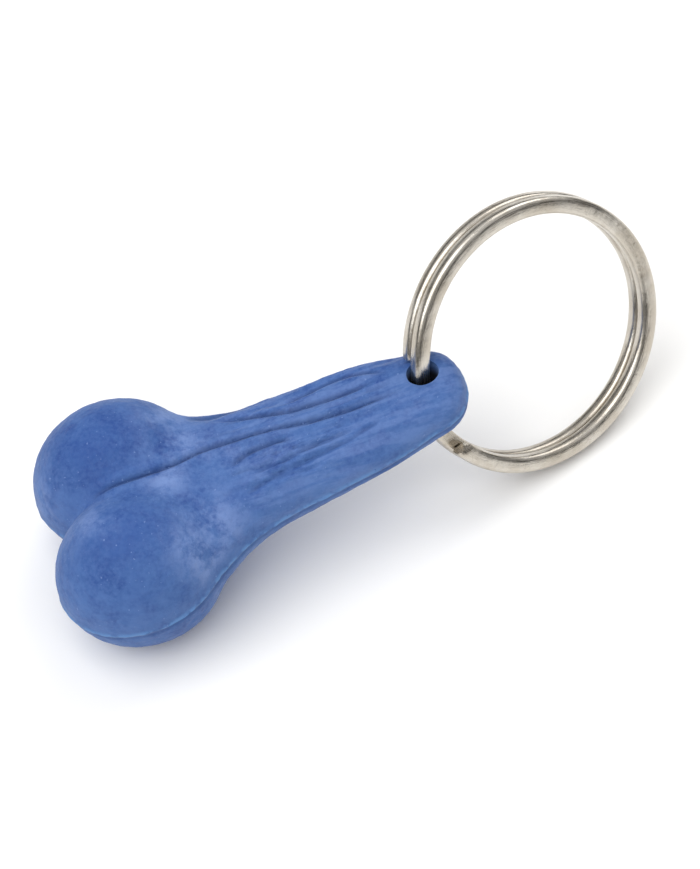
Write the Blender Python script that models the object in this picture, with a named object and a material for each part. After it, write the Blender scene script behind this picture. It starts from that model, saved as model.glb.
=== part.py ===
"""Key ring with a moulded rubber fob: two round lobes and a creased neck.

Everything is measured in millimetres in the fob's own frame and turned into
metres in the world frame by place().  Fob frame: origin midway between the
two lobes, X along the neck towards the eyelet, Y across, Z out of the face.
World frame: the fob lies on its lobes, the ring props the eyelet end up.
"""
import math

import bmesh
import bpy
import numpy as np
from mathutils import Matrix, Vector

# ---- fob ------------------------------------------------------------------
LOBE_RX = 9.68            # lobe radius along the neck
LOBE_RY = 8.50            # lobe radius across
LOBE_RZ = 9.64            # lobe radius through the thickness
LOBE_SPREAD = 12.28       # distance between the lobes' centres, across
LOBE_STAGGER = 1.14       # one lobe sits this much nearer the eyelet
NECK_END = 40.1           # round end of the neck, beyond the eyelet
NECK_X = (0.0, 6.0, 12.0, 18.0, 24.0, 30.0, 35.0)
NECK_HALF_WIDTH = (8.49, 11.26, 8.80, 7.50, 7.03, 6.35, 5.20)
NECK_HALF_THICK = (7.56, 6.35, 5.15, 4.40, 3.86, 3.62, 3.40)
NECK_POWER = 2.6          # superellipse exponent of the neck's section
FOB_VOXEL = 0.95
NECK_SIDES = 40           # points round the neck's section
NECK_STEPS = 35           # sections from the lobes to the eyelet
END_ROUND_WIDE = 0.78     # how fully the round end swells across; 1 is a half circle
END_ROUND_THICK = 0.6     # the same through the thickness
SOFTEN_STEPS = 6          # smoothing of the remeshed skin
NOSE_DRIFT_FROM = 27.0    # the lean starts here
NOSE_DRIFT_OVER = 10.0    # and is whole this much further on
NOSE_DRIFT = -0.05        # the round end leans this far to one side
EYELET_X = 35.0           # where the wire passes through the fob's middle plane
HINGE_X = 35.2            # the line the ring swings about, in the same plane
HOLE_X = 35.3             # the hole's own middle, a little nearer the end
HOLE_AXIS = (0.20, 0.20, 0.955)
HOLE_HALF_LONG = 1.80     # half size along the neck
HOLE_HALF_WIDE = 1.60     # half size across
MOUTH_FLARE = 0.25        # how much the hole opens at its mouths
MOUTH_SHARE = 0.4         # share of the hole's half length that the flare takes
HOLE_SIDES = 36           # points round the hole
HOLE_REACH = 3.6

# ---- split ring -------------------------------------------------------------
RING_OD = 32.0
WIRE_RADIAL = 2.0         # wire size from the ring's inside to its outside
TURN_PITCH = 1.75         # from one turn's centre to the next
TURN_GAP = 0.20           # clearance between the two turns
WIRE_AXIAL = TURN_PITCH - TURN_GAP   # wire size along the ring's axis
CORNER = 0.42             # rounding of the wire's edges
CROSSOVER = 12.0          # length of wire that changes turn, in the eyelet
REAR_END = 4.8            # rear free end to the eyelet's middle, along the wire
FRONT_END = 8.2           # front free end, likewise; clears the fob when pried up
JOINT_GAP = 0.30
RING_STEP_DEG = 6.0
RING_NORMAL = (0.357, -0.843, 0.402)
RING_TO_EYELET = (-0.9314, -0.2876, 0.2230)

# ---- pose -------------------------------------------------------------------
NOSE_UP_DEG = 10.0
LIFT = 9.62
SHIFT_X = -27.2
SHIFT_Y = 0.0

MM = 0.001


def clear_scene():
    for obj in list(bpy.data.objects):
        bpy.data.objects.remove(obj, do_unlink=True)


def material(name, colour, roughness, metallic):
    mat = bpy.data.materials.new(name)
    mat.use_nodes = True
    shader = mat.node_tree.nodes["Principled BSDF"]
    shader.inputs["Base Color"].default_value = (*colour, 1.0)
    shader.inputs["Roughness"].default_value = roughness
    shader.inputs["Metallic"].default_value = metallic
    mat.diffuse_color = (*colour, 1.0)
    return mat


def to_world():
    """Matrix from the fob's frame in millimetres to the world in metres."""
    tilt = Matrix.Rotation(-math.radians(NOSE_UP_DEG), 4, "Y")
    move = Matrix.Translation((SHIFT_X, SHIFT_Y, LIFT))
    return Matrix.Scale(MM, 4) @ move @ tilt


def ring_axes():
    """Ring axes: out of the ring, towards the eyelet, and round to the back."""
    normal = Vector(RING_NORMAL).normalized()
    inward = Vector(RING_TO_EYELET)
    inward = (inward - normal * inward.dot(normal)).normalized()
    return normal, inward, normal.cross(inward)


def spine_radius():
    return RING_OD / 2 - WIRE_RADIAL / 2


def ring_centre():
    return Vector((EYELET_X, 0.0, 0.0)) - ring_axes()[1] * spine_radius()


def layer(arc):
    """Height along the ring's axis, arc millimetres in front of the eyelet."""
    t = min(max(arc / CROSSOVER + 0.5, 0.0), 1.0)
    return TURN_PITCH / 2 * -math.cos(math.pi * t)


def wire_point(arc):
    normal, inward, back = ring_axes()
    a = arc / spine_radius()
    out = inward * math.cos(a) - back * math.sin(a)
    return ring_centre() + out * spine_radius() + normal * layer(arc), out


def wire_frame(arc):
    point, out = wire_point(arc)
    ahead = wire_point(arc + 0.05)[0] - wire_point(arc - 0.05)[0]
    ahead.normalize()
    across = ahead.cross(out).normalized()
    return point, out, across, ahead


def wire_section():
    """Rounded rectangle: (out, across) pairs, anticlockwise."""
    points = []
    half_out = WIRE_RADIAL / 2 - CORNER
    half_across = WIRE_AXIAL / 2 - CORNER
    for side_out, side_across, start in ((1, 1, 0), (-1, 1, 90), (-1, -1, 180), (1, -1, 270)):
        for step in range(4):
            a = math.radians(start + 30 * step)
            out = side_out * half_out + CORNER * math.cos(a)
            across = side_across * half_across + CORNER * math.sin(a)
            points.append((out, across))
    return points


def sweep(start, end):
    """Closed mesh of the wire between two distances along it."""
    count = max(2, round((end - start) / spine_radius() / math.radians(RING_STEP_DEG)))
    mesh = bmesh.new()
    rings = []
    for i in range(count + 1):
        point, out, across, _ = wire_frame(start + (end - start) * i / count)
        loop = [mesh.verts.new(point + out * a + across * b) for a, b in wire_section()]
        rings.append(loop)
    size = len(rings[0])
    for low, high in zip(rings, rings[1:]):
        for k in range(size):
            mesh.faces.new((low[k], low[(k + 1) % size], high[(k + 1) % size], high[k]))
    mesh.faces.new(list(reversed(rings[0])))
    mesh.faces.new(rings[-1])
    bmesh.ops.recalc_face_normals(mesh, faces=mesh.faces)
    return mesh


def add_object(name, mesh, mat, origin):
    """Make an object whose own origin is the fob-frame point given."""
    matrix = to_world()
    mesh.transform(matrix)
    place = matrix @ Vector(origin)
    mesh.transform(Matrix.Translation(-place))
    data = bpy.data.meshes.new(name)
    mesh.to_mesh(data)
    mesh.free()
    for face in data.polygons:
        face.use_smooth = True
    obj = bpy.data.objects.new(name, data)
    bpy.context.scene.collection.objects.link(obj)
    obj.location = place
    if mat is not None:
        obj.data.materials.append(mat)
    return obj


def add_lobe(mesh, side):
    made = bmesh.ops.create_uvsphere(mesh, u_segments=40, v_segments=24, radius=1.0)
    centre = Vector((side * LOBE_STAGGER / 2, side * LOBE_SPREAD / 2, 0.0))
    size = Matrix.Diagonal((LOBE_RX, LOBE_RY, LOBE_RZ, 1.0))
    bmesh.ops.transform(mesh, matrix=Matrix.Translation(centre) @ size, verts=made["verts"])


def curve(x, xs, ys):
    """Smooth curve through points, with slopes taken from the neighbours."""
    slopes = np.gradient(np.array(ys), np.array(xs))
    i = min(max(int(np.searchsorted(xs, x)) - 1, 0), len(xs) - 2)
    span = xs[i + 1] - xs[i]
    t = (x - xs[i]) / span
    start = (1 + 2 * t) * (1 - t) ** 2 * ys[i] + t * (1 - t) ** 2 * span * slopes[i]
    end = t * t * (3 - 2 * t) * ys[i + 1] + t * t * (t - 1) * span * slopes[i + 1]
    return float(start + end)


def neck_size(x):
    return curve(x, NECK_X, NECK_HALF_WIDTH), curve(x, NECK_X, NECK_HALF_THICK)


def nose_drift(x):
    t = min(max((x - NOSE_DRIFT_FROM) / NOSE_DRIFT_OVER, 0.0), 1.0)
    return NOSE_DRIFT * t * t * (3 - 2 * t)


def neck_stations():
    """(x, half width, half thickness) from inside the lobes to the round end."""
    rows = []
    for i in range(NECK_STEPS + 1):
        x = NECK_X[0] + (NECK_X[-1] - NECK_X[0]) * i / NECK_STEPS
        rows.append((x, *neck_size(x)))
    width, thick = neck_size(NECK_X[-1])
    length = NECK_END - NECK_X[-1]
    for step in range(1, 10):
        a = math.radians(10 * step)
        shrink = math.cos(a) if step < 9 else 0.08
        along = NECK_X[-1] + length * math.sin(a)
        rows.append((along, width * shrink ** END_ROUND_WIDE, thick * shrink ** END_ROUND_THICK))
    return rows


def add_neck(mesh):
    loops = []
    for x, width, thick in neck_stations():
        loop = []
        for k in range(NECK_SIDES):
            a = 2 * math.pi * k / NECK_SIDES
            c = math.copysign(abs(math.cos(a)) ** (2 / NECK_POWER), math.cos(a))
            s = math.copysign(abs(math.sin(a)) ** (2 / NECK_POWER), math.sin(a))
            loop.append(mesh.verts.new((x, width * c + nose_drift(x), thick * s)))
        loops.append(loop)
    for low, high in zip(loops, loops[1:]):
        for k in range(NECK_SIDES):
            after = (k + 1) % NECK_SIDES
            mesh.faces.new((low[k], low[after], high[after], high[k]))
    mesh.faces.new(list(reversed(loops[0])))
    mesh.faces.new(loops[-1])


def eyelet_cutter():
    """Oval hole through the neck, with eased mouths."""
    axis = Vector(HOLE_AXIS).normalized()
    across = Vector((0.0, 1.0, 0.0))
    across = (across - axis * across.dot(axis)).normalized()
    along = across.cross(axis)
    mesh = bmesh.new()
    loops = []
    for step in range(-8, 9):
        travel = step * HOLE_REACH / 4
        flare = MOUTH_FLARE * (max(0.0, abs(travel) / HOLE_REACH - 1 + MOUTH_SHARE) / MOUTH_SHARE) ** 2
        centre = Vector((HOLE_X, 0.0, 0.0)) + axis * travel
        loop = []
        for k in range(HOLE_SIDES):
            a = 2 * math.pi * k / HOLE_SIDES
            out = along * math.cos(a) * (HOLE_HALF_LONG + flare)
            side = across * math.sin(a) * (HOLE_HALF_WIDE + flare)
            loop.append(mesh.verts.new(centre + out + side))
        loops.append(loop)
    for low, high in zip(loops, loops[1:]):
        for k in range(HOLE_SIDES):
            after = (k + 1) % HOLE_SIDES
            mesh.faces.new((low[k], low[after], high[after], high[k]))
    mesh.faces.new(list(reversed(loops[0])))
    mesh.faces.new(loops[-1])
    bmesh.ops.recalc_face_normals(mesh, faces=mesh.faces)
    cutter = add_object("eyelet_cutter", mesh, None, (HOLE_X, 0.0, 0.0))
    cutter.hide_render = True
    cutter.display_type = "WIRE"
    return cutter


def build_fob(mat):
    mesh = bmesh.new()
    add_lobe(mesh, -1)
    add_lobe(mesh, 1)
    add_neck(mesh)
    bmesh.ops.recalc_face_normals(mesh, faces=mesh.faces)
    fob = add_object("rubber_fob", mesh, mat, (0.0, 0.0, 0.0))
    skin = fob.modifiers.new("skin", "REMESH")
    skin.mode = "VOXEL"
    skin.voxel_size = FOB_VOXEL * MM
    skin.use_smooth_shade = True
    soften = fob.modifiers.new("soften", "SMOOTH")
    soften.factor = 0.5
    soften.iterations = SOFTEN_STEPS
    hole = fob.modifiers.new("eyelet", "BOOLEAN")
    hole.operation = "DIFFERENCE"
    hole.solver = "EXACT"
    hole.object = eyelet_cutter()
    return fob


def add_parented(name, start, end, mat, pivot, parent):
    obj = add_object(name, sweep(start, end), mat, pivot)
    obj.parent = parent
    obj.matrix_parent_inverse = parent.matrix_world.inverted()
    return obj


def build_ring(mat):
    """One wire of two turns, parted at the far side where it twists open."""
    turn = 2 * math.pi * spine_radius()
    far = turn / 2
    gap = JOINT_GAP / 2
    ring = add_object("split_ring", sweep(-far + gap, far - gap), mat, (HINGE_X, 0.0, 0.0))
    bpy.context.view_layer.update()
    rear_pivot = wire_point(-far)[0]
    front_pivot = wire_point(far)[0]
    add_parented("ring_end_rear", -turn + REAR_END, -far - gap, mat, rear_pivot, ring)
    add_parented("ring_end_front", far + gap, turn - FRONT_END, mat, front_pivot, ring)
    return ring


def main():
    clear_scene()
    rubber = material("blue_rubber", (0.085, 0.175, 0.425), 0.6, 0.0)
    nickel = material("nickel_wire", (0.56, 0.52, 0.47), 0.24, 1.0)
    build_fob(rubber)
    build_ring(nickel)


main()
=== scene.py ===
"""Looks of the keychain: a moulded rubber fob and a nickel split ring.

Shapes are worked out in the fob's own frame in millimetres (X along the neck
towards the eyelet, Y across, Z out of its face) and turned to the row frame
by settle().
"""
import math

import bmesh
import bpy
import numpy as np
from mathutils import Matrix, Vector, noise


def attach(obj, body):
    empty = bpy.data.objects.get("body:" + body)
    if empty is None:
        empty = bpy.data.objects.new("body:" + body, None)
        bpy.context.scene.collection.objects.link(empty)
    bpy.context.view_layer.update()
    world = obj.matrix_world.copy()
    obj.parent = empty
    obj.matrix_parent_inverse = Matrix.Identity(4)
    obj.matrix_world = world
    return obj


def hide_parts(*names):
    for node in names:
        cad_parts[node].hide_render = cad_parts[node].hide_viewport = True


MM = 0.001

# How the keychain lies: the fob on its lobes, the ring holding the neck up.
NOSE_UP = math.radians(10.0)
FOB_PLACE = (-27.2, 0.0, 9.62)

# Fob
LOBE_SIZE = (9.56, 8.28, 9.58)
LOBE_SPREAD = 12.28
LOBE_STAGGER = 1.14
NECK_X = (0.0, 6.0, 12.0, 18.0, 24.0, 30.0, 35.0)
NECK_HALF_WIDTH = (8.49, 11.10, 8.72, 7.42, 6.98, 6.34, 5.20)
UPPER_TRIM = (0.0, 0.35, 0.62, 0.50, 0.20, 0.0, 0.0)
NECK_HALF_THICK = (7.56, 6.35, 5.15, 4.40, 3.86, 3.62, 3.40)
NECK_POWER = 2.6
NECK_END = 39.95
SKIN_VOXEL = 0.24
SOFTEN_STEPS = 24
WAIST_EASE = 520
NOSE_DRIFT = -0.05
END_ROUND_UPPER = 0.74
END_ROUND_LOWER = 0.85
END_ROUND_THICK = 0.6

# Heights of the moulding's unevenness
STRAND_HEIGHT = 0.20
WRINKLE_HEIGHT = 0.14
SWELL_HEIGHT = 0.05
COARSE_PIT = 0.035
FINE_PIT = 0.018
LIP_HEIGHT = 0.21
LIP_HALF = 0.20
GUTTER_DEPTH = 0.07
GUTTER_BELOW = 0.55
LOWER_HALF_STEP = 0.06
SINK = 0.04

# Eyelet
EYELET_X = 35.0
HOLE_X = 35.3
HOLE_AXIS = (0.20, 0.20, 0.955)
HOLE_HALF_LONG = 1.74
HOLE_HALF_WIDE = 1.58
MOUTH_FLARE = 0.12
HOLE_REACH = 3.6

# Split ring
RING_OD = 32.0
WIRE_RADIAL = 2.0
WIRE_AXIAL = 1.64
SPINE_R = RING_OD / 2 - WIRE_RADIAL / 2
TURN_PITCH = 1.75
CROSSOVER = 12.0
SECTION_POWER = 3.2
WIRE_STEP = 0.35
CUT_SLANT = 0.45
CUT_REACH = 1.6
REAR_END = 4.8
FRONT_END = 8.2
RING_NORMAL = (0.357, -0.843, 0.402)
RING_TO_EYELET = (-0.9314, -0.2876, 0.2230)

# Creases of the neck's face: (along, across) points, half width, depth.
# The small folds nearer the lobes give the neck its gathered look.
CREASES = {
    "middle": (((-3.0, 0.2), (-1.6, 0.4), (2.2, 0.15), (6.7, 0.5), (10.3, 1.25), (13.7, 1.3),
                (17.5, 1.05), (22.6, 0.2), (27.1, -0.3), (31.2, -0.4), (34, -0.3)), 0.24, 0.42),
    "upper_strand": (((11.5, 5.5), (15.7, 4.1), (20.4, 2.7), (23.5, 2.3), (27.9, 1.9),
                      (31.7, 2.15)), 0.28, 0.40),
    "upper_fold": (((19.5, 3.5), (23, 4.0), (26.8, 4.5), (30, 3.9), (32.8, 2.4)), 0.26, 0.30),
    "upper_crack": (((24.5, 1.1), (27, 0.8), (29.5, 1.0), (32.5, 0.9)), 0.20, 0.20),
    "lower_strand": (((12.2, -2.0), (15.1, -0.9), (18.1, -0.8), (20.5, -1.3)), 0.30, 0.34),
    "lower_fold": (((13.1, -3.8), (17.5, -3.5), (21.5, -2.9), (27.8, -2.9)), 0.30, 0.36),
    "side_fold": (((12.8, -5.5), (16.4, -4.75), (21, -4.2), (26.5, -3.6)), 0.30, 0.32),
    "gather_one": (((15.2, -2.4), (16.6, -2.1), (18.2, -2.3), (19.6, -1.9)), 0.20, 0.22),
    "gather_two": (((17.2, -1.5), (18.6, -1.7), (20.2, -2.4), (22, -2.1)), 0.20, 0.22),
    "gather_three": (((14.0, -4.8), (15.6, -4.2), (17.4, -4.4), (19, -3.7)), 0.20, 0.20),
    "gather_four": (((21.5, -1.2), (23, -1.9), (24.8, -1.7), (26.5, -2.2)), 0.20, 0.18),
    "cross_one": (((17.0, -3.2), (17.7, -2.4), (18.0, -1.4)), 0.18, 0.16),
    "cross_two": (((19.4, -3.0), (19.9, -2.2), (20.6, -1.5)), 0.18, 0.15),
    "gather_five": (((16.0, -5.4), (18.2, -5.0), (20.6, -5.2), (23, -4.7)), 0.22, 0.18),
    "gather_six": (((22.5, -3.6), (25, -3.9), (27.5, -3.4), (30, -3.0)), 0.22, 0.18),
    "gather_seven": (((12.0, -3.0), (14, -2.9), (16, -3.2), (18, -2.8)), 0.22, 0.18),
    "shoulder": (((9.8, 7.4), (12, 6.4), (14.5, 6.3), (17, 6.6)), 0.50, 0.26),
}


# Where the rubber's masks fade in, from and to, or their middle and half width.
FOLD_SHADE_GAIN = 3.4
FACE_MASK = (0.15, 0.6)
EDGE_MASK = (0.35, 0.7)
LIP_MASK = (0.05, 0.30)
GUTTER_SHADOW_MASK = (-0.60, 0.32)
CHALK_MASK = (0.5, 2.5)
WORN_AND_RIM_LIGHT_MASK = (0.50, 0.92)
NECK_MASK = (9.0, 16.0)
MOUTH_SHADE_MASK = (0.05, 0.40)
HOLE_SHADE_MASK = (1.8, 3.4)

# Painted shade: the deepest colour lies on the lobes' crowns, a little off their middles, standing in for
# their shading.
CROWN_SHADE_SHIFT = (-0.5, -1.5)
CROWN_SHADE_REACH = 4.6

# Where handling has left the rubber chalky: along, across, reach, amount.
CHALK_PATCHES = (
    (6.5, -10.4, 3.0, 1.0),
    (9.0, -7.6, 3.6, 0.8),
    (5.8, -1.0, 2.4, 0.8),
    (8.6, 3.0, 3.4, 0.7),
    (8.0, 7.0, 2.6, 0.75),
    (-8.2, 4.5, 2.6, 0.5),
    (-3.0, -3.5, 3.2, 0.55),
    (13.5, 0.0, 4.0, 0.45),
)


def settle(point):
    """Fob frame in millimetres to the row frame in metres."""
    tilt = Matrix.Rotation(-NOSE_UP, 3, "Y")
    return (tilt @ Vector(point) + Vector(FOB_PLACE)) * MM


def settle_all(points):
    """The same for an array of points."""
    c, s = math.cos(NOSE_UP), math.sin(NOSE_UP)
    turn = np.array(((c, 0, s), (0, 1, 0), (-s, 0, c)))
    return (points @ turn + np.array(FOB_PLACE)) * MM


# ---- camera -----------------------------------------------------------------

def add_camera():
    """Long lens, about 55 degrees above the table."""
    eye = Vector((28.13, -246.56, 363.84))
    right = Vector((0.9187, -0.3248, -0.2247))
    ahead = Vector((-0.0048, 0.5596, -0.8287))
    turn = Matrix.Rotation(-NOSE_UP, 3, "Y")
    right = (turn @ right).normalized()
    back = -(turn @ ahead).normalized()
    up = back.cross(right).normalized()
    right = up.cross(back).normalized()
    data = bpy.data.cameras.new("camera")
    data.lens = 165.7
    data.sensor_width = 36.0
    data.clip_start = 0.01
    camera = bpy.data.objects.new("camera", data)
    facing = Matrix((right, up, back)).transposed().to_4x4()
    camera.matrix_world = Matrix.Translation(settle(eye)) @ facing
    bpy.context.scene.collection.objects.link(camera)
    bpy.context.scene.camera = camera


# ---- small mesh helpers ---------------------------------------------------

def curve(x, xs, ys):
    """Smooth curve through points, with slopes taken from the neighbours."""
    slopes = np.gradient(np.array(ys), np.array(xs))
    i = min(max(int(np.searchsorted(xs, x)) - 1, 0), len(xs) - 2)
    span = xs[i + 1] - xs[i]
    t = (x - xs[i]) / span
    start = (1 + 2 * t) * (1 - t) ** 2 * ys[i] + t * (1 - t) ** 2 * span * slopes[i]
    end = t * t * (3 - 2 * t) * ys[i + 1] + t * t * (t - 1) * span * slopes[i + 1]
    return float(start + end)


def smooth_line(points, count):
    """A fine polyline through a few points."""
    rows = np.array(points, float)
    at = np.arange(len(rows))
    spots = np.linspace(0, len(rows) - 1, count)
    return np.array([[curve(t, at, rows[:, k]) for k in range(2)] for t in spots])


def add_loops(mesh, loops):
    """Skin a closed tube over loops of points."""
    made = [[mesh.verts.new(p) for p in loop] for loop in loops]
    size = len(made[0])
    for low, high in zip(made, made[1:]):
        for k in range(size):
            mesh.faces.new((low[k], low[(k + 1) % size], high[(k + 1) % size], high[k]))
    mesh.faces.new(list(reversed(made[0])))
    mesh.faces.new(made[-1])


def new_object(name, mesh):
    bmesh.ops.recalc_face_normals(mesh, faces=mesh.faces)
    data = bpy.data.meshes.new(name)
    mesh.to_mesh(data)
    mesh.free()
    obj = bpy.data.objects.new(name, data)
    bpy.context.scene.collection.objects.link(obj)
    return obj


def bake_modifiers(obj):
    """Keep the modified mesh and drop the modifiers."""
    graph = bpy.context.evaluated_depsgraph_get()
    made = bpy.data.meshes.new_from_object(obj.evaluated_get(graph))
    obj.modifiers.clear()
    old = obj.data
    obj.data = made
    bpy.data.meshes.remove(old)


def points_of(data):
    rows = np.empty(len(data.vertices) * 3)
    data.vertices.foreach_get("co", rows)
    return rows.reshape(-1, 3)


def normals_of(data):
    rows = np.empty(len(data.vertices) * 3)
    data.vertex_normals.foreach_get("vector", rows)
    return rows.reshape(-1, 3)


def set_points(data, points):
    data.vertices.foreach_set("co", points.ravel())
    data.update()


def store(data, name, values):
    layer = data.attributes.new(name, "FLOAT", "POINT")
    layer.data.foreach_set("value", np.ascontiguousarray(values, dtype=np.float32))


def soft_step(x, low, high):
    t = np.clip((x - low) / (high - low), 0.0, 1.0)
    return t * t * (3 - 2 * t)


# ---- fob ------------------------------------------------------------------

def neck_loops():
    loops = []
    stations = [(x, 1.0) for x in np.linspace(NECK_X[0], NECK_X[-1], 90)]
    for step in range(1, 19):
        a = math.radians(5 * step)
        stations.append((NECK_X[-1] + (NECK_END - NECK_X[-1]) * math.sin(a), max(math.cos(a), 0.05)))
    for x, shrink in stations:
        width = curve(min(x, NECK_X[-1]), NECK_X, NECK_HALF_WIDTH)
        drift = NOSE_DRIFT * soft_step(x, 27.0, 37.0)
        thick = curve(min(x, NECK_X[-1]), NECK_X, NECK_HALF_THICK) * shrink ** END_ROUND_THICK
        trim = curve(min(x, NECK_X[-1]), NECK_X, UPPER_TRIM)
        loop = []
        for k in range(96):
            a = 2 * math.pi * k / 96
            c = math.copysign(abs(math.cos(a)) ** (2 / NECK_POWER), math.cos(a))
            s = math.copysign(abs(math.sin(a)) ** (2 / NECK_POWER), math.sin(a))
            squareness = END_ROUND_UPPER if c > 0 else END_ROUND_LOWER
            half = width - trim if c > 0 else width
            loop.append((x, half * shrink ** squareness * c + drift, thick * s))
        loops.append(loop)
    return loops


def base_fob():
    """Two lobes and the neck, joined into one smooth skin."""
    mesh = bmesh.new()
    for side in (-1, 1):
        made = bmesh.ops.create_uvsphere(mesh, u_segments=120, v_segments=80, radius=1.0)
        centre = Matrix.Translation((side * LOBE_STAGGER / 2, side * LOBE_SPREAD / 2, 0.0))
        size = Matrix.Diagonal((*LOBE_SIZE, 1.0))
        bmesh.ops.transform(mesh, matrix=centre @ size, verts=made["verts"])
    add_loops(mesh, neck_loops())
    fob = new_object("fob_skin", mesh)
    skin = fob.modifiers.new("skin", "REMESH")
    skin.mode = "VOXEL"
    skin.voxel_size = SKIN_VOXEL
    soften = fob.modifiers.new("soften", "SMOOTH")
    soften.factor = 0.5
    soften.iterations = SOFTEN_STEPS
    bake_modifiers(fob)
    fill_waist(fob)
    return fob


def fill_waist(fob):
    """Ease the hollow where the lobes run into the neck."""
    points = points_of(fob.data)
    saddle = soft_step(points[:, 0], -4.0, 2.5) * soft_step(19.0 - points[:, 0], 0.0, 7.0)
    inside = soft_step(11.0 - np.abs(points[:, 1]), 0.0, 4.0)
    weight = saddle * np.maximum(inside, 0.12)
    group = fob.vertex_groups.new(name="waist")
    for level in range(1, 11):
        chosen = np.nonzero((weight > (level - 1) / 10) & (weight <= level / 10))[0]
        if len(chosen):
            group.add(chosen.tolist(), level / 10, "REPLACE")
    ease = fob.modifiers.new("ease", "SMOOTH")
    ease.factor = 0.5
    ease.iterations = WAIST_EASE
    ease.vertex_group = "waist"
    bake_modifiers(fob)
    fob.vertex_groups.clear()


def crease_field(points, line, half_width):
    """Distance to a crease and how far along it, 0 to 1, for every point."""
    best = np.full(len(points), 1e9)
    along = np.zeros(len(points))
    fine = smooth_line(line, 60)
    near = (points[:, 0] > fine[:, 0].min() - 4) & (points[:, 0] < fine[:, 0].max() + 4)
    spots = points[near, :2]
    for i, (a, b) in enumerate(zip(fine, fine[1:])):
        step = b - a
        t = np.clip(((spots - a) @ step) / (step @ step), 0, 1)
        away = np.linalg.norm(spots - a - t[:, None] * step, axis=1)
        closer = away < best[near]
        best[near] = np.where(closer, away, best[near])
        along[near] = np.where(closer, (i + t) / (len(fine) - 1), along[near])
    return best, along


def crease_depth(points, faces_up):
    """How deep every point lies in the folds of the neck's faces."""
    depth = np.zeros(len(points))
    for line, half_width, deep in CREASES.values():
        away, along = crease_field(points, line, half_width)
        taper = soft_step(along, 0.0, 0.22) * soft_step(1 - along, 0.0, 0.22)
        valley = np.exp(-((away / half_width) ** 2))
        shoulder = np.exp(-(((away - 3.0 * half_width) / (1.7 * half_width)) ** 2))
        depth += deep * taper * (valley - 0.36 * shoulder)
    return depth * faces_up


def lumps(points, scale, seed):
    """Smooth noise at every point, about -1 to 1."""
    offset = Vector((seed * 7.3, seed * 3.1, seed * 5.7))
    return np.array([noise.noise(Vector(p) * scale + offset) for p in points])


def off_parting_line(points):
    """Height above the mould's parting line, which wanders a little."""
    return points[:, 2] + 0.10 * lumps(points, 0.35, 8)


def shape_fob(fob):
    """Folds, the mould's parting lip and the unevenness of a hand-sized moulding."""
    data = fob.data
    points = points_of(data)
    normals = normals_of(data)
    faces_up = soft_step(np.abs(normals[:, 2]), 0.25, 0.75)
    folds = crease_depth(points, faces_up)
    on_neck = soft_step(points[:, 0], 9.0, 14.0) * soft_step(38.0 - points[:, 0], 0.0, 4.0)
    stretched = points * np.array((0.12, 0.95, 0.30))
    strands = lumps(stretched, 1.0, 2) * STRAND_HEIGHT * on_neck * faces_up
    swell = lumps(points, 0.16, 3) * SWELL_HEIGHT
    pits = lumps(points, 1.3, 5) * COARSE_PIT + lumps(points, 2.8, 6) * FINE_PIT
    gathered = soft_step(points[:, 0], 11.0, 15.0) * soft_step(29.0 - points[:, 0], 0.0, 6.0)
    wrinkles = lumps(points * np.array((0.50, 1.9, 0.6)), 1.0, 7) * WRINKLE_HEIGHT * gathered * faces_up
    sideways = 1.0 - np.abs(normals[:, 2])
    wander = off_parting_line(points)
    lip = np.exp(-((wander / LIP_HALF) ** 2)) * soft_step(sideways, 0.45, 0.80)
    gutter = np.exp(-(((wander + GUTTER_BELOW) / 0.28) ** 2)) * soft_step(sideways, 0.45, 0.80)
    ragged = 0.70 + 0.55 * lumps(points, 1.1, 4)
    step = -LOWER_HALF_STEP * soft_step(-points[:, 2], 0.05, 0.35) * soft_step(sideways, 0.2, 0.6)
    lift = strands + swell + pits + wrinkles + step - folds
    lift += LIP_HEIGHT * lip * ragged - GUTTER_DEPTH * gutter - SINK
    set_points(data, points + normals * lift[:, None])


def wire_point(arc):
    normal, inward, back = ring_axes()
    a = arc / SPINE_R
    out = inward * math.cos(a) - back * math.sin(a)
    t = min(max(arc / CROSSOVER + 0.5, 0.0), 1.0)
    layer = -TURN_PITCH / 2 * math.cos(math.pi * t)
    centre = Vector((EYELET_X, 0.0, 0.0)) - inward * SPINE_R
    return centre + out * SPINE_R + normal * layer, out


def ring_axes():
    normal = Vector(RING_NORMAL).normalized()
    inward = Vector(RING_TO_EYELET)
    inward = (inward - normal * inward.dot(normal)).normalized()
    return normal, inward, normal.cross(inward)


def wire_frame(arc):
    point, out = wire_point(arc)
    ahead = (wire_point(arc + 0.05)[0] - wire_point(arc - 0.05)[0]).normalized()
    return point, out, ahead.cross(out).normalized(), ahead


def eyelet_cutter():
    axis = Vector(HOLE_AXIS).normalized()
    across = Vector((0.0, 1.0, 0.0))
    across = (across - axis * across.dot(axis)).normalized()
    along = across.cross(axis)
    loops = []
    for step in range(-24, 25):
        travel = step * HOLE_REACH / 12
        flare = MOUTH_FLARE * (max(0.0, abs(travel) / HOLE_REACH - 0.6) / 0.4) ** 2
        centre = Vector((HOLE_X, 0.0, 0.0)) + axis * travel
        loop = []
        for k in range(72):
            a = 2 * math.pi * k / 72
            out = along * math.cos(a) * (HOLE_HALF_LONG + flare)
            side = across * math.sin(a) * (HOLE_HALF_WIDE + flare)
            loop.append(centre + out + side)
        loops.append(loop)
    mesh = bmesh.new()
    add_loops(mesh, loops)
    return new_object("eyelet_cutter", mesh)


def cut_eyelet(fob):
    cutter = eyelet_cutter()
    hole = fob.modifiers.new("eyelet", "BOOLEAN")
    hole.operation = "DIFFERENCE"
    hole.solver = "EXACT"
    hole.object = cutter
    bake_modifiers(fob)
    bpy.data.objects.remove(cutter, do_unlink=True)


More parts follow.
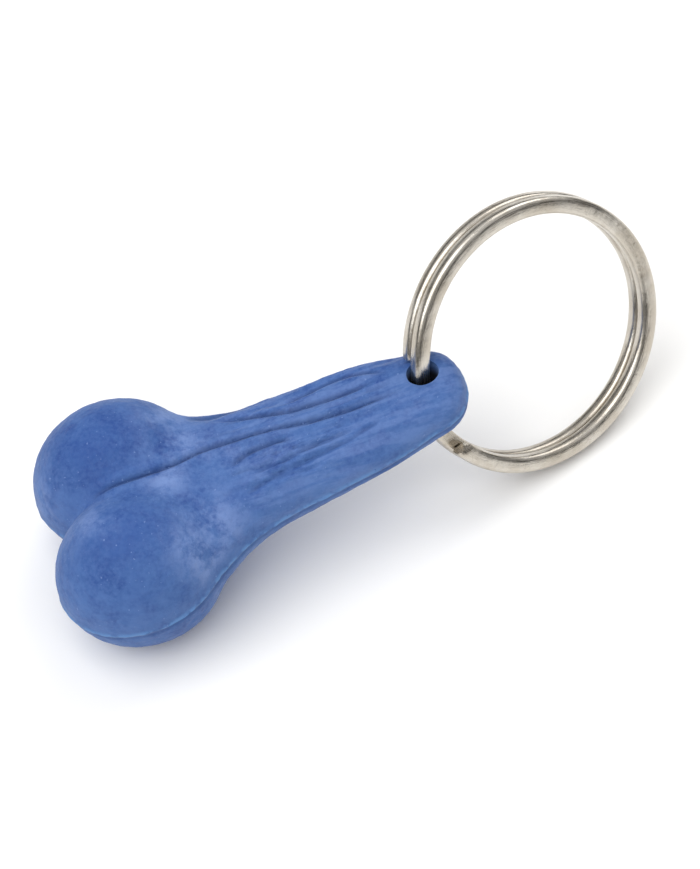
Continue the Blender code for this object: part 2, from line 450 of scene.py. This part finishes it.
def mark_fob(fob):
    """Masks the rubber's colour reads: painted shade in the folds, under the parting lip, on the lobes'
    crowns and in the hole, painted rim light mixed with rubbing on the sides, the parting lip and chalky
    bloom.
    """
    data = fob.data
    points = points_of(data)
    normals = normals_of(data)
    faces_up = soft_step(np.abs(normals[:, 2]), *FACE_MASK)
    # Painted shade: how deep each point lies in the folds, for darkening them.
    store(data, "fold_shade", np.clip(crease_depth(points, faces_up) * FOLD_SHADE_GAIN, 0, 1))
    sideways = 1.0 - np.abs(normals[:, 2])
    wander = off_parting_line(points)
    edge = soft_step(sideways, *EDGE_MASK)
    # Lip and gutter masks; the gutter one carries the painted shadow under the lip.
    for name, (middle, half) in (("lip", LIP_MASK), ("gutter", GUTTER_SHADOW_MASK)):
        store(data, name, np.exp(-(((wander - middle) / half) ** 2)) * edge)
    chalky = np.zeros(len(points))
    for x, y, reach, amount in CHALK_PATCHES:
        away = np.hypot(points[:, 0] - x, points[:, 1] - y)
        chalky = np.maximum(chalky, amount * np.exp(-((away / reach) ** 2)))
    store(data, "waist", chalky * soft_step(np.abs(points[:, 2]), *CHALK_MASK))
    # Sideways-facing surfaces: partly rubbing wear, partly painted rim light.
    store(data, "worn_and_rim_lit", 1.0 - soft_step(np.abs(normals[:, 2]), *WORN_AND_RIM_LIGHT_MASK))
    # Painted shade on the lobes' crowns, standing in for their shading.
    crown_shade = np.zeros(len(points))
    for side in (-1, 1):
        middle = np.array((side * LOBE_STAGGER / 2, side * LOBE_SPREAD / 2))
        away = np.linalg.norm(points[:, :2] - middle - CROWN_SHADE_SHIFT, axis=1)
        crown_shade = np.maximum(crown_shade, np.exp(-((away / CROWN_SHADE_REACH) ** 2)))
    store(data, "crown_shade", crown_shade)
    store(data, "neck", soft_step(points[:, 0], *NECK_MASK))
    # Painted shade: the inside of the eyelet hole, away from its mouths.
    axis = np.array(HOLE_AXIS) / np.linalg.norm(HOLE_AXIS)
    offset = points - np.array((HOLE_X, 0.0, 0.0))
    travel = offset @ axis
    away = np.linalg.norm(offset - travel[:, None] * axis, axis=1)
    within = 1.0 - soft_step(away - HOLE_HALF_LONG, *MOUTH_SHADE_MASK)
    store(data, "eyelet", within * (1.0 - soft_step(np.abs(travel), *HOLE_SHADE_MASK)))


def build_fob(rubber):
    fob = base_fob()
    shape_fob(fob)
    cut_eyelet(fob)
    mark_fob(fob)
    set_points(fob.data, settle_all(points_of(fob.data)))
    finish_piece(fob, "moulded_fob", rubber, "fob", "rubber_fob")


def finish_piece(obj, name, mat, body, node):
    obj.name = name
    obj.data.name = name
    obj.data.materials.clear()
    obj.data.materials.append(mat)
    for face in obj.data.polygons:
        face.use_smooth = True
    obj.data.set_sharp_from_angle(angle=math.radians(50))
    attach(obj, body)
    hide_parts(node)


# ---- split ring -------------------------------------------------------------

def wire_section(count):
    """Drawn wire, flattened a little: a soft-cornered oblong."""
    loop = []
    for k in range(count):
        a = 2 * math.pi * k / count
        c = math.copysign(abs(math.cos(a)) ** (2 / SECTION_POWER), math.cos(a))
        s = math.copysign(abs(math.sin(a)) ** (2 / SECTION_POWER), math.sin(a))
        loop.append((c * WIRE_RADIAL / 2, s * WIRE_AXIAL / 2))
    return loop


def build_wire(name, start, end, cut_start, cut_end, mat, body, node):
    """One length of the wire; a cut end is sheared at a slant and eased."""
    section = wire_section(40)
    arcs = list(np.linspace(start, end, int((end - start) / WIRE_STEP)))
    mesh = bmesh.new()
    loops = []
    for arc in arcs:
        point, out, across, ahead = wire_frame(arc)
        loop = []
        for a, b in section:
            slant = 0.0
            if cut_start:
                slant -= CUT_SLANT * a * max(0.0, 1 - (arc - start) / CUT_REACH)
            if cut_end:
                slant += CUT_SLANT * a * max(0.0, 1 - (end - arc) / CUT_REACH)
            loop.append(settle(point + out * a + across * b + ahead * slant))
        loops.append(loop)
    for is_cut, first, second in ((cut_start, 0, 1), (cut_end, -1, -2)):
        if is_cut:
            middle = sum(loops[first], Vector()) / len(section)
            loops[first] = [middle.lerp(p, 0.90) for p in loops[first]]
            inner = sum(loops[second], Vector()) / len(section)
            loops[second] = [inner.lerp(p, 0.985) for p in loops[second]]
    add_loops(mesh, loops)
    obj = new_object(name, mesh)
    data = obj.data
    count = len(section)
    steps = len(arcs)
    along = np.repeat(np.array(arcs), count)
    around = np.tile(np.arange(count) / count, steps)
    store(data, "along", along)
    store(data, "around", around)
    finish_piece(obj, name, mat, body, node)


def build_ring(nickel):
    far = math.pi * SPINE_R
    turn = 2 * far
    build_wire("ring_wire", -far, far, False, False, nickel, "ring", "split_ring")
    build_wire("rear_wire_end", -turn + REAR_END, -far, True, False, nickel, "rear_end", "ring_end_rear")
    build_wire("front_wire_end", far, turn - FRONT_END, False, True, nickel, "front_end", "ring_end_front")


# ---- materials ---------------------------------------------------------------

class Nodes:
    """Short names for building a node tree."""

    def __init__(self, tree):
        self.tree = tree

    def add(self, kind, **values):
        node = self.tree.nodes.new(kind)
        for key, value in values.items():
            if hasattr(node, key):
                setattr(node, key, value)
            else:
                node.inputs[key].default_value = value
        return node

    def link(self, source, target):
        self.tree.links.new(source, target)

    def attribute(self, name):
        node = self.tree.nodes.new("ShaderNodeAttribute")
        node.attribute_name = name
        return node.outputs["Fac"]

    def math(self, operation, a, b=0.0, c=0.0):
        node = self.tree.nodes.new("ShaderNodeMath")
        node.operation = operation
        for socket, value in zip(node.inputs, (a, b, c)):
            if isinstance(value, (int, float)):
                socket.default_value = value
            else:
                self.link(value, socket)
        return node.outputs[0]

    def noise(self, vector, scale, detail=4.0, roughness=0.55):
        node = self.tree.nodes.new("ShaderNodeTexNoise")
        self.link(vector, node.inputs["Vector"])
        node.inputs["Scale"].default_value = scale
        node.inputs["Detail"].default_value = detail
        node.inputs["Roughness"].default_value = roughness
        return node.outputs["Fac"]

    def remap(self, value, low, high, to_low=0.0, to_high=1.0):
        node = self.tree.nodes.new("ShaderNodeMapRange")
        node.interpolation_type = "SMOOTHSTEP"
        self.link(value, node.inputs["Value"])
        node.inputs["From Min"].default_value = low
        node.inputs["From Max"].default_value = high
        node.inputs["To Min"].default_value = to_low
        node.inputs["To Max"].default_value = to_high
        return node.outputs["Result"]

    def mix(self, amount, a, b, blend="MIX"):
        node = self.tree.nodes.new("ShaderNodeMix")
        node.data_type = "RGBA"
        node.blend_type = blend
        for socket, value in ((node.inputs[0], amount), (node.inputs[6], a), (node.inputs[7], b)):
            if isinstance(value, (int, float)):
                socket.default_value = value
            elif isinstance(value, tuple):
                socket.default_value = (*value, 1.0)
            else:
                self.link(value, socket)
        return node.outputs[2]

    def bump(self, height, strength, distance):
        node = self.tree.nodes.new("ShaderNodeBump")
        node.inputs["Strength"].default_value = strength
        node.inputs["Distance"].default_value = distance
        self.link(height, node.inputs["Height"])
        return node


def new_material(name):
    mat = bpy.data.materials.new(name)
    mat.use_nodes = True
    return mat, Nodes(mat.node_tree), mat.node_tree.nodes["Principled BSDF"]


def moulded_rubber():
    """Blue rubber: blotchy pigment, pale bloom in the hollows, a bright lip, painted shade in the folds,
    under the lip, on the lobes' crowns and in the hole, and painted rim light mixed with rubbing wear on
    the sides.
    """
    mat, n, shader = new_material("moulded_rubber")
    place = n.add("ShaderNodeTexCoord").outputs["Object"]
    stretch = n.add("ShaderNodeMapping")
    stretch.inputs["Scale"].default_value = (0.20, 1.4, 1.0)
    n.link(place, stretch.inputs["Vector"])
    blotch = n.remap(n.noise(place, 120.0, 6.0, 0.62), 0.40, 0.62)
    mottle = n.remap(n.noise(place, 620.0, 5.0, 0.68), 0.36, 0.64)
    grain = n.remap(n.noise(place, 2100.0, 3.0, 0.6), 0.34, 0.66)
    streak = n.remap(n.noise(stretch.outputs["Vector"], 650.0, 5.0, 0.65), 0.42, 0.60)
    deep = (0.014, 0.056, 0.245)
    middle = (0.044, 0.114, 0.335)
    chalk = (0.200, 0.300, 0.590)
    handled_and_rim_lit = (0.088, 0.186, 0.450)
    shaded_top_colour = (0.022, 0.074, 0.285)
    colour = n.mix(blotch, deep, middle)
    colour = n.mix(n.math("MULTIPLY", mottle, 0.62), colour, (0.064, 0.145, 0.375))
    colour = n.mix(n.math("MULTIPLY", grain, 0.32), colour, (0.105, 0.200, 0.470))
    # Paler blue on the sideways-facing sides: partly rubbing wear, partly painted rim light.
    smears_and_rim_light = n.remap(n.noise(place, 380.0, 5.0, 0.65), 0.34, 0.64, 0.15, 0.70)
    rubbed_and_rim_lit = n.math("MULTIPLY", n.attribute("worn_and_rim_lit"), smears_and_rim_light)
    colour = n.mix(rubbed_and_rim_lit, colour, handled_and_rim_lit)
    # Painted shade: deeper blue over the lobes' crowns, broken up by clouds.
    clouds = n.remap(n.noise(place, 210.0, 4.0, 0.6), 0.30, 0.66, 0.25, 0.75)
    depth = n.math("MULTIPLY", n.attribute("crown_shade"), clouds)
    colour = n.mix(depth, colour, shaded_top_colour)
    powder = n.remap(n.noise(place, 300.0, 6.0, 0.7), 0.38, 0.64)
    bloom = n.math("MULTIPLY", n.attribute("waist"), powder)
    drawn = n.math("MULTIPLY", n.math("MULTIPLY", streak, n.attribute("neck")), 0.26)
    colour = n.mix(n.math("MAXIMUM", n.math("MULTIPLY", bloom, 0.95), drawn), colour, chalk)
    # Painted shade: darker blue down in the neck's folds.
    colour = n.mix(n.math("MULTIPLY", n.attribute("fold_shade"), 0.60), colour, (0.014, 0.036, 0.120))
    edge = n.math("MULTIPLY", n.attribute("lip"), n.remap(n.noise(place, 800.0, 3.0), 0.36, 0.58))
    # Painted shadow: darker blue in the gutter under the parting lip.
    colour = n.mix(n.math("MULTIPLY", n.attribute("gutter"), 0.45), colour, (0.022, 0.070, 0.230))
    colour = n.mix(n.math("MULTIPLY", edge, 0.75), colour, (0.140, 0.320, 0.640))
    specks = n.remap(n.noise(place, 2600.0, 1.0), 0.72, 0.79)
    colour = n.mix(n.math("MULTIPLY", specks, 0.5), colour, chalk)
    nicks = n.remap(n.noise(place, 1400.0, 2.0), 0.76, 0.82)
    colour = n.mix(n.math("MULTIPLY", nicks, 0.6), colour, deep)
    # Painted shade: near black inside the eyelet hole.
    colour = n.mix(n.attribute("eyelet"), colour, (0.006, 0.010, 0.022))
    n.link(colour, shader.inputs["Base Color"])
    n.link(n.remap(mottle, 0.0, 1.0, 0.56, 0.74), shader.inputs["Roughness"])
    shader.inputs["Specular IOR Level"].default_value = 0.25
    shader.inputs["Sheen Weight"].default_value = 0.05
    shader.inputs["Sheen Roughness"].default_value = 0.5
    fine = n.bump(n.noise(place, 1500.0, 6.0, 0.6), 0.55, 0.00014)
    coarse = n.bump(n.noise(place, 420.0, 4.0, 0.55), 0.40, 0.0004)
    n.link(coarse.outputs["Normal"], fine.inputs["Normal"])
    n.link(fine.outputs["Normal"], shader.inputs["Normal"])
    return mat


def nickel_plate():
    """Bright warm nickel with faint drawing lines along the wire."""
    mat, n, shader = new_material("nickel_plate")
    place = n.add("ShaderNodeTexCoord").outputs["Object"]
    join = n.add("ShaderNodeCombineXYZ")
    n.link(n.math("MULTIPLY", n.attribute("along"), 0.05), join.inputs["X"])
    n.link(n.math("MULTIPLY", n.attribute("around"), 9.0), join.inputs["Y"])
    lines = n.noise(join.outputs["Vector"], 6.0, 4.0, 0.6)
    cloud = n.noise(place, 260.0, 4.0, 0.6)
    colour = n.mix(n.remap(cloud, 0.35, 0.68), (0.53, 0.482, 0.412), (0.65, 0.612, 0.550))
    colour = n.mix(n.remap(n.noise(place, 2300.0, 3.0), 0.58, 0.72, 0.0, 0.36), colour, (0.34, 0.29, 0.22))
    n.link(colour, shader.inputs["Base Color"])
    shader.inputs["Metallic"].default_value = 1.0
    n.link(n.remap(lines, 0.3, 0.7, 0.17, 0.33), shader.inputs["Roughness"])
    scratch = n.bump(lines, 0.22, 0.00008)
    dents = n.bump(n.noise(place, 700.0, 4.0), 0.34, 0.00014)
    n.link(dents.outputs["Normal"], scratch.inputs["Normal"])
    n.link(scratch.outputs["Normal"], shader.inputs["Normal"])
    return mat


# ---- studio ----------------------------------------------------------------

def add_floor():
    mesh = bmesh.new()
    bmesh.ops.create_grid(mesh, x_segments=2, y_segments=2, size=1.5)
    floor = new_object("floor", mesh)
    mat, _, shader = new_material("white_sweep")
    shader.inputs["Base Color"].default_value = (0.99, 0.985, 0.975, 1.0)
    shader.inputs["Roughness"].default_value = 0.9
    shader.inputs["Specular IOR Level"].default_value = 0.1
    floor.data.materials.append(mat)


def add_light(name, place, size, power, aim=(0.0, 0.0, 0.01)):
    data = bpy.data.lights.new(name, "AREA")
    data.shape = "RECTANGLE"
    data.size, data.size_y = size
    data.energy = power
    light = bpy.data.objects.new(name, data)
    light.location = place
    light.rotation_euler = (Vector(place) - Vector(aim)).to_track_quat("Z", "Y").to_euler()
    bpy.context.scene.collection.objects.link(light)


def studio_world():
    """White below and above, with a darker band of room at eye level."""
    world = bpy.data.worlds.new("studio")
    world.use_nodes = True
    n = Nodes(world.node_tree)
    split = n.add("ShaderNodeSeparateXYZ")
    n.link(n.add("ShaderNodeTexCoord").outputs["Generated"], split.inputs["Vector"])
    ramp = n.add("ShaderNodeValToRGB")
    bands = ((0.0, 0.75), (0.50, 0.70), (0.53, 0.07), (0.62, 0.14), (0.74, 0.85), (1.0, 1.0))
    ramp.color_ramp.elements[0].position = bands[0][0]
    ramp.color_ramp.elements[0].color = (bands[0][1],) * 3 + (1.0,)
    ramp.color_ramp.elements[1].position = bands[-1][0]
    ramp.color_ramp.elements[1].color = (bands[-1][1],) * 3 + (1.0,)
    for position, value in bands[1:-1]:
        ramp.color_ramp.elements.new(position).color = (value,) * 3 + (1.0,)
    n.link(n.math("MULTIPLY_ADD", split.outputs["Z"], 0.5, 0.5), ramp.inputs["Fac"])
    ground = world.node_tree.nodes["Background"]
    n.link(ramp.outputs["Color"], ground.inputs["Color"])
    ground.inputs["Strength"].default_value = 0.68
    bpy.context.scene.world = world


def add_studio():
    add_floor()
    studio_world()
    add_light("key_softbox", (-0.28, -0.12, 0.60), (0.70, 0.70), 3.4)
    add_light("fill_softbox", (0.40, 0.34, 0.50), (0.50, 0.50), 1.5)
    bpy.context.scene.view_settings.view_transform = "Standard"


add_camera()
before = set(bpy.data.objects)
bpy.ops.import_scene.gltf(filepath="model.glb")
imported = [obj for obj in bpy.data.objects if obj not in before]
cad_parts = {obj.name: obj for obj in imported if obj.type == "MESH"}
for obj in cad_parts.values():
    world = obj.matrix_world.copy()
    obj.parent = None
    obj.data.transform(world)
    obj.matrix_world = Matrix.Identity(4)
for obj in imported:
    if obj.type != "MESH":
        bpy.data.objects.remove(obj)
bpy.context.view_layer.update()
build_fob(moulded_rubber())
build_ring(nickel_plate())
add_studio()
